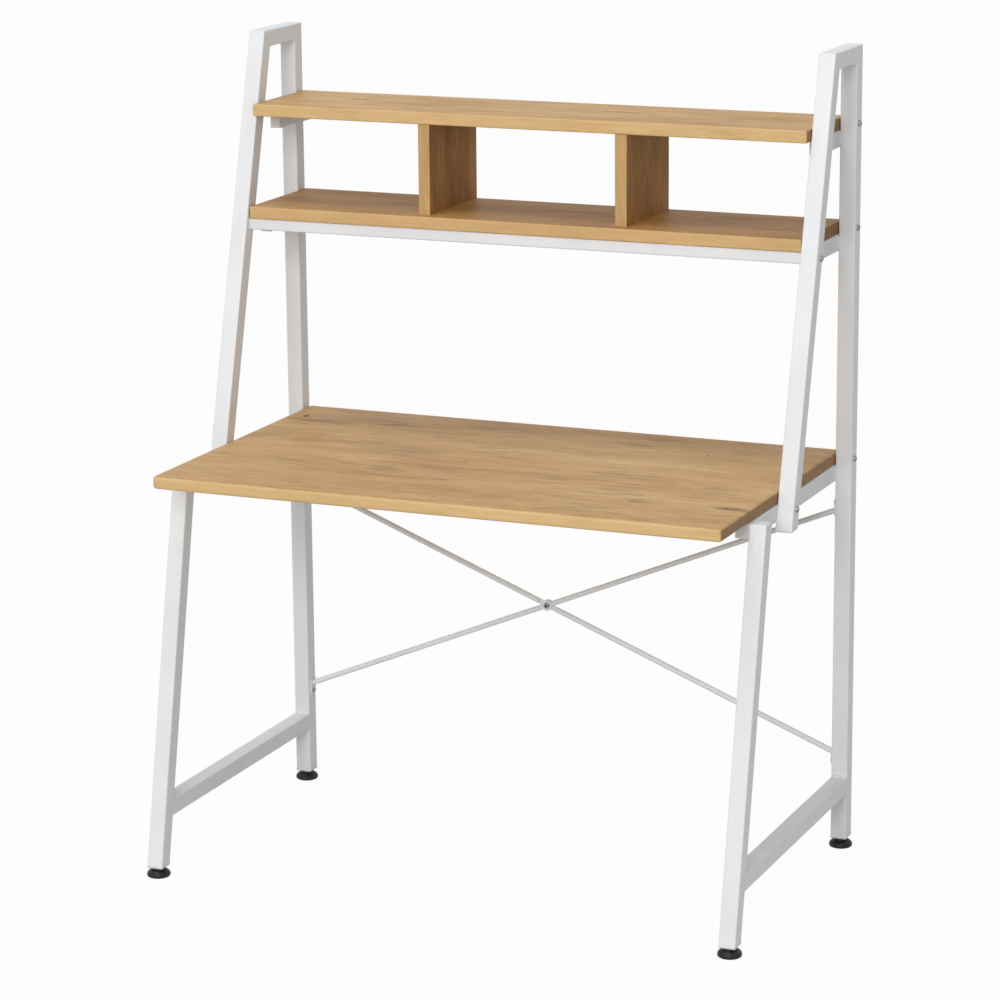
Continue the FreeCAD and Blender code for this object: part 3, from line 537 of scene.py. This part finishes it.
def boltSets():
    headHeight = buttonBolt["height"] * mm
    for node in ("post_bolts", "desk_rail_bolts", "front_rail_bolts"):
        boxes = solidBoxes(node)
        low, high = boxes[0]
        bolt = buttonHeadBolt((high.x - low.x - headHeight) / mm)
        piece = bmesh.new()
        for low, high in boxes:
            middle = (low + high) / 2
            outward = 1 if middle.x > 0 else -1
            seat = (high.x if outward > 0 else low.x) - outward * headHeight
            stamp(piece, bolt, facing((seat, middle.y, middle.z), (outward, 0, 0)))
        bolt.free()
        newPiece(node + "_socket_heads", piece, "zinc_steel", stands=[node])
    low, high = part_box("hub_bolt")
    bolt = buttonHeadBolt((high.y - low.y - headHeight) / mm)
    middle = (low + high) / 2
    piece = bmesh.new()
    stamp(piece, bolt, facing((middle.x, low.y + headHeight, middle.z), (0, -1, 0)))
    bolt.free()
    newPiece("hub_bolt_socket_head", piece, "zinc_steel", stands=["hub_bolt"])
    nut = hexNutShape()
    for node, axis in (("desk_rail_nuts", 0), ("hub_nut", 1)):
        piece = bmesh.new()
        for low, high in solidBoxes(node):
            middle = (low + high) / 2
            away = [0, 0, 0]
            away[axis] = 1 if axis == 1 or middle[axis] < 0 else -1
            seat = middle.copy()
            seat[axis] = low[axis] if away[axis] > 0 else high[axis]
            stamp(piece, nut, facing(seat, away))
        newPiece(node + "_chamfered", piece, "zinc_steel", stands=[node], crease=hexNut["crease"])
    nut.free()


boltSets()
print("bolts and nuts made")


# Cross recess screws under the boards and on the brace tabs

panScrew = {
    "head": 4.5, "height": 2.5, "crown": 3.0, "shoulder": 1.4, "shoulderSteps": 4,
    "recess": 2.4, "recessDepth": 1.4, "recessTaper": 0.6,
    "shank": 2.25, "braceShank": 2.5, "pitch": 1.8, "depth": 0.7, "steps": 36, "threadSteps": 12,
}


def panHeadScrew(radius, length):
    size = panScrew
    head, height = size["head"], size["height"]
    screw = spinSolid([(size["crown"], height), (head, height), (head, 0), (0, 0)], size["steps"])
    roundRing(screw, head, height, size["shoulder"], size["shoulderSteps"])
    # the cross is a grid of nine squares without its corners
    cross = bmesh.ops.create_grid(screw, x_segments=3, y_segments=3, size=size["recess"] * mm,
                                  matrix=Matrix.Translation((0, 0, height * mm)))["verts"]
    squares = {face for vert in cross for face in vert.link_faces}
    centres = {face: face.calc_center_median() for face in squares}
    corners = [face for face, spot in centres.items() if min(abs(spot.x), abs(spot.y)) > samePlace]
    bmesh.ops.delete(screw, geom=corners, context="FACES")
    inner = [edge for vert in cross if vert.is_valid for edge in vert.link_edges if len(edge.link_faces) == 2]
    bmesh.ops.delete(screw, geom=list(set(inner)), context="EDGES_FACES")
    outline = [edge for edge in screw.edges if edge.is_wire]
    bmesh.ops.subdivide_edges(screw, edges=outline, cuts=size["steps"] // 12 - 1)
    sinkRecess(screw, size["recessDepth"], size["recessTaper"])
    thread = threadedRod(radius, size["pitch"], size["depth"], -length, threadLap, size["threadSteps"])
    stamp(screw, thread)
    thread.free()
    return screw


def screwSets():
    headHeight = panScrew["height"] * mm
    for node in ("desk_screws", "lower_shelf_screws", "top_shelf_screws", "divider_screws", "brace_screws"):
        boxes = solidBoxes(node)
        axis, radius = (0, panScrew["braceShank"]) if node == "brace_screws" else (2, panScrew["shank"])
        low, high = boxes[0]
        screw = panHeadScrew(radius, (high[axis] - low[axis] - headHeight) / mm)
        piece = bmesh.new()
        for low, high in boxes:
            middle = (low + high) / 2
            away = [0, 0, 0]
            away[axis] = 1 if axis == 0 and middle.x < 0 else -1
            seat = middle.copy()
            seat[axis] = (high if away[axis] > 0 else low)[axis] - away[axis] * headHeight
            stamp(piece, screw, facing(seat, away))
        screw.free()
        newPiece(node + "_cross_heads", piece, "zinc_steel", stands=[node])


screwSets()
print("screws made")


# Levelling feet

levelFoot = {
    "profile": [(0, 0), (17, 0), (19.8, 1.2), (21, 3.4), (21, 6), (20, 8.4), (17.8, 10.8), (15, 12.7),
                (12.8, 14), (12.4, 17), (4.3, 17), (4.3, 3.2), (0, 3.2)],
    "rim": (21, 6, 1.2), "neck": (12.4, 17, 0.6), "roundSteps": 3, "crease": 40,
    "pitch": 1.25, "threadDepth": 0.65, "steps": 64,
}


def levellingFeet():
    size = levelFoot
    for corner in ("front_left", "front_right", "rear_left", "rear_right"):
        padNode, stemNode = "foot_pad_" + corner, "foot_stem_" + corner
        low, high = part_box(padNode)
        spot = Matrix.Translation(((low.x + high.x) / 2, (low.y + high.y) / 2, 0))
        pad = spinSolid(size["profile"], size["steps"])
        roundRing(pad, *size["rim"], size["roundSteps"])
        roundRing(pad, *size["neck"], size["roundSteps"])
        bmesh.ops.transform(pad, matrix=spot, verts=pad.verts)
        newPiece("moulded_foot_" + corner, pad, "black_plastic", padNode, [padNode], size["crease"])
        low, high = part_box(stemNode)
        radius = (high.x - low.x) / 2 / mm
        stem = threadedRod(radius, size["pitch"], size["threadDepth"], low.z / mm, high.z / mm)
        bmesh.ops.transform(stem, matrix=spot, verts=stem.verts)
        newPiece("threaded_stem_" + corner, stem, "zinc_steel", stemNode, [stemNode])


levellingFeet()
print("feet made")


# Weld beads in the inner corners of the side frames

weldBead = {
    "radius": 2.4, "swell": 1.16, "close": 0.55, "step": 1.1, "sides": 12,
    "inset": 3, "level": 0.05, "crease": 60,
}


def faceEnd(node, level, pick):
    # how far a tube's top or bottom face reaches along Y
    slack = weldBead["level"] * mm
    return pick(vert.co.y for vert in nodes[node].data.vertices if abs(vert.co.z - level) < slack)


def addBead(target, start, end):
    # a bead of overlapping ripples laid from one point to another
    swell, close = weldBead["swell"], weldBead["close"]
    run = Vector(end) - Vector(start)
    count = 2 * int(run.length / mm / weldBead["step"] / 2)
    bead = bmesh.new()
    bmesh.ops.create_circle(bead, cap_ends=True, segments=weldBead["sides"],
                            radius=close * weldBead["radius"] * mm)
    edges = bead.edges[:]
    for index in range(count):
        grown = bmesh.ops.extrude_edge_only(bead, edges=edges)["geom"]
        edges = [item for item in grown if isinstance(item, bmesh.types.BMEdge) and item.is_boundary]
        ring = vertsIn(grown)
        if index == 0:
            widen = swell / close
        elif index == count - 1:
            widen = close / swell
        else:
            widen = swell if index % 2 else 1 / swell
        bmesh.ops.translate(bead, verts=ring, vec=(0, 0, run.length / count))
        bmesh.ops.scale(bead, verts=ring, vec=(widen, widen, 1))
    bmesh.ops.contextual_create(bead, geom=edges)
    bmesh.ops.recalc_face_normals(bead, faces=bead.faces)
    stamp(target, bead, facing(start, run))
    bead.free()


def weldBeads():
    inset = weldBead["inset"] * mm
    for side in ("left", "right"):
        beads = bmesh.new()
        # across the stretcher's ends and under the top bar
        low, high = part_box("stretcher_" + side)
        left, right = low.x + inset, high.x - inset
        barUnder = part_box("top_bar_" + side)[0].z
        corners = [(faceEnd("stretcher_" + side, z, pick), z) for z in (low.z, high.z) for pick in (min, max)]
        corners += [(faceEnd("top_bar_" + side, barUnder, pick), barUnder) for pick in (min, max)]
        for y, z in corners:
            addBead(beads, (left, y, z), (right, y, z))
        # up the leg's rear edge against the desk rail
        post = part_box("rear_post_" + side)
        inner = post[0].x if side == "right" else post[1].x
        foot, top = [corner.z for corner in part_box("lower_leg_" + side)]
        footRear, topRear = [faceEnd("lower_leg_" + side, z, max) for z in (foot, top)]
        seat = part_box("desk_rail_" + side)[0].z + inset
        seatRear = topRear + (footRear - topRear) * (top - seat) / (top - foot)
        addBead(beads, (inner, seatRear, seat), (inner, topRear, top))
        # up the post's front edge against each inboard bar
        for bar in ("desk_rail_", "lower_shelf_bar_", "top_shelf_bar_"):
            low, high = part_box(bar + side)
            addBead(beads, (inner, post[0].y, low.z + inset), (inner, post[0].y, high.z - inset))
        newPiece("weld_beads_" + side, beads, "white_powder_coat", crease=weldBead["crease"])


weldBeads()
print("weld beads made")


# Floor, light and camera

studio = {
    "floorSize": 80, "floorColour": "#cfcfcd", "ambient": "#ffffff", "ambientStrength": 0.4,
    "floorWhite": 0.97,  # the rest of the floor's look is paper that shows the shadow
}
lamps = {
    "frontSoftbox": {"azimuth": 8, "elevation": 21, "distance": 12, "size": (5, 5), "power": 640},
    "overheadSoftbox": {"azimuth": -30, "elevation": 74, "distance": 9, "size": (4.3, 4.3), "power": 235},
}


def towards(place):
    # direction from the desk to a lamp or camera: azimuth from the front to the right, elevation up
    turn, rise = math.radians(place["azimuth"]), math.radians(place["elevation"])
    return Vector((math.sin(turn) * math.cos(rise), -math.cos(turn) * math.cos(rise), math.sin(rise)))


def addHolder(name, data, location, rotation):
    holder = bpy.data.objects.new(name, data)
    bpy.context.scene.collection.objects.link(holder)
    holder.location = location
    holder.rotation_mode = "QUATERNION"
    holder.rotation_quaternion = rotation
    return holder


def whiteRays(tree):
    # 1 for rays that the eye follows: straight from the camera, mirrored or through glass
    path = addNode(tree, "LightPath").outputs
    seen = addNode(tree, "Math", {0: path["Is Camera Ray"], 1: path["Is Glossy Ray"]}, operation="ADD")
    return addNode(tree, "Math", {0: seen, 1: path["Is Transmission Ray"]}, operation="ADD", use_clamp=True)


def makeFloor():
    shape = bmesh.new()
    bmesh.ops.create_grid(shape, x_segments=1, y_segments=1, size=studio["floorSize"] / 2)
    mesh = bpy.data.meshes.new("floor")
    shape.to_mesh(mesh)
    shape.free()
    floor = bpy.data.objects.new("floor", mesh)
    bpy.context.scene.collection.objects.link(floor)
    material, tree = newMaterial("palePaperFloor")
    paper = addNode(tree, "BsdfDiffuse", {"Color": hexColour(studio["floorColour"])})
    glow = addNode(tree, "Emission", {"Color": (1, 1, 1, 1), "Strength": 1.0})
    share = addNode(tree, "Math", {0: whiteRays(tree), 1: studio["floorWhite"]}, operation="MULTIPLY")
    mix = addNode(tree, "MixShader", {0: share, 1: paper, 2: glow})
    addNode(tree, "OutputMaterial", {"Surface": mix})
    mesh.materials.append(material)


def makeLight():
    scene = bpy.context.scene
    scene.view_settings.view_transform = "Standard"
    world = bpy.data.worlds.new("whiteStudio")
    scene.world = world
    world.use_nodes = True
    tree = world.node_tree
    tree.nodes.clear()
    soft = addNode(tree, "Background", {
        "Color": hexColour(studio["ambient"]), "Strength": studio["ambientStrength"]})
    white = addNode(tree, "Background", {"Color": (1, 1, 1, 1), "Strength": 1.0})
    mix = addNode(tree, "MixShader", {0: whiteRays(tree), 1: soft, 2: white})
    addNode(tree, "OutputWorld", {"Surface": mix})
    centre = (cadBox[0] + cadBox[1]) / 2
    for name, lamp in lamps.items():
        light = bpy.data.lights.new(name, "AREA")
        light.shape = "RECTANGLE"
        light.size, light.size_y = lamp["size"]
        light.energy = lamp["power"]
        back = towards(lamp)
        addHolder(name, light, centre + back * lamp["distance"], back.to_track_quat("Z", "Y"))


viewpoint = {
    "azimuth": 23.161, "elevation": 13.703, "roll": -0.495, "distance": 6.3566,
    "target": (-0.01446, 0.034, 0.65478), "lens": 130.37, "sensor": 36,
}


def makeCamera():
    camera = bpy.data.cameras.new("viewpoint")
    camera.lens = viewpoint["lens"]
    camera.sensor_width = viewpoint["sensor"]
    back = towards(viewpoint)
    roll = Quaternion((0, 0, 1), math.radians(viewpoint["roll"]))
    bpy.context.scene.camera = addHolder(
        "viewpoint", camera, Vector(viewpoint["target"]) + back * viewpoint["distance"],
        (-back).to_track_quat("-Z", "Y") @ roll)


makeFloor()
makeLight()
makeCamera()
print("studio and camera ready")
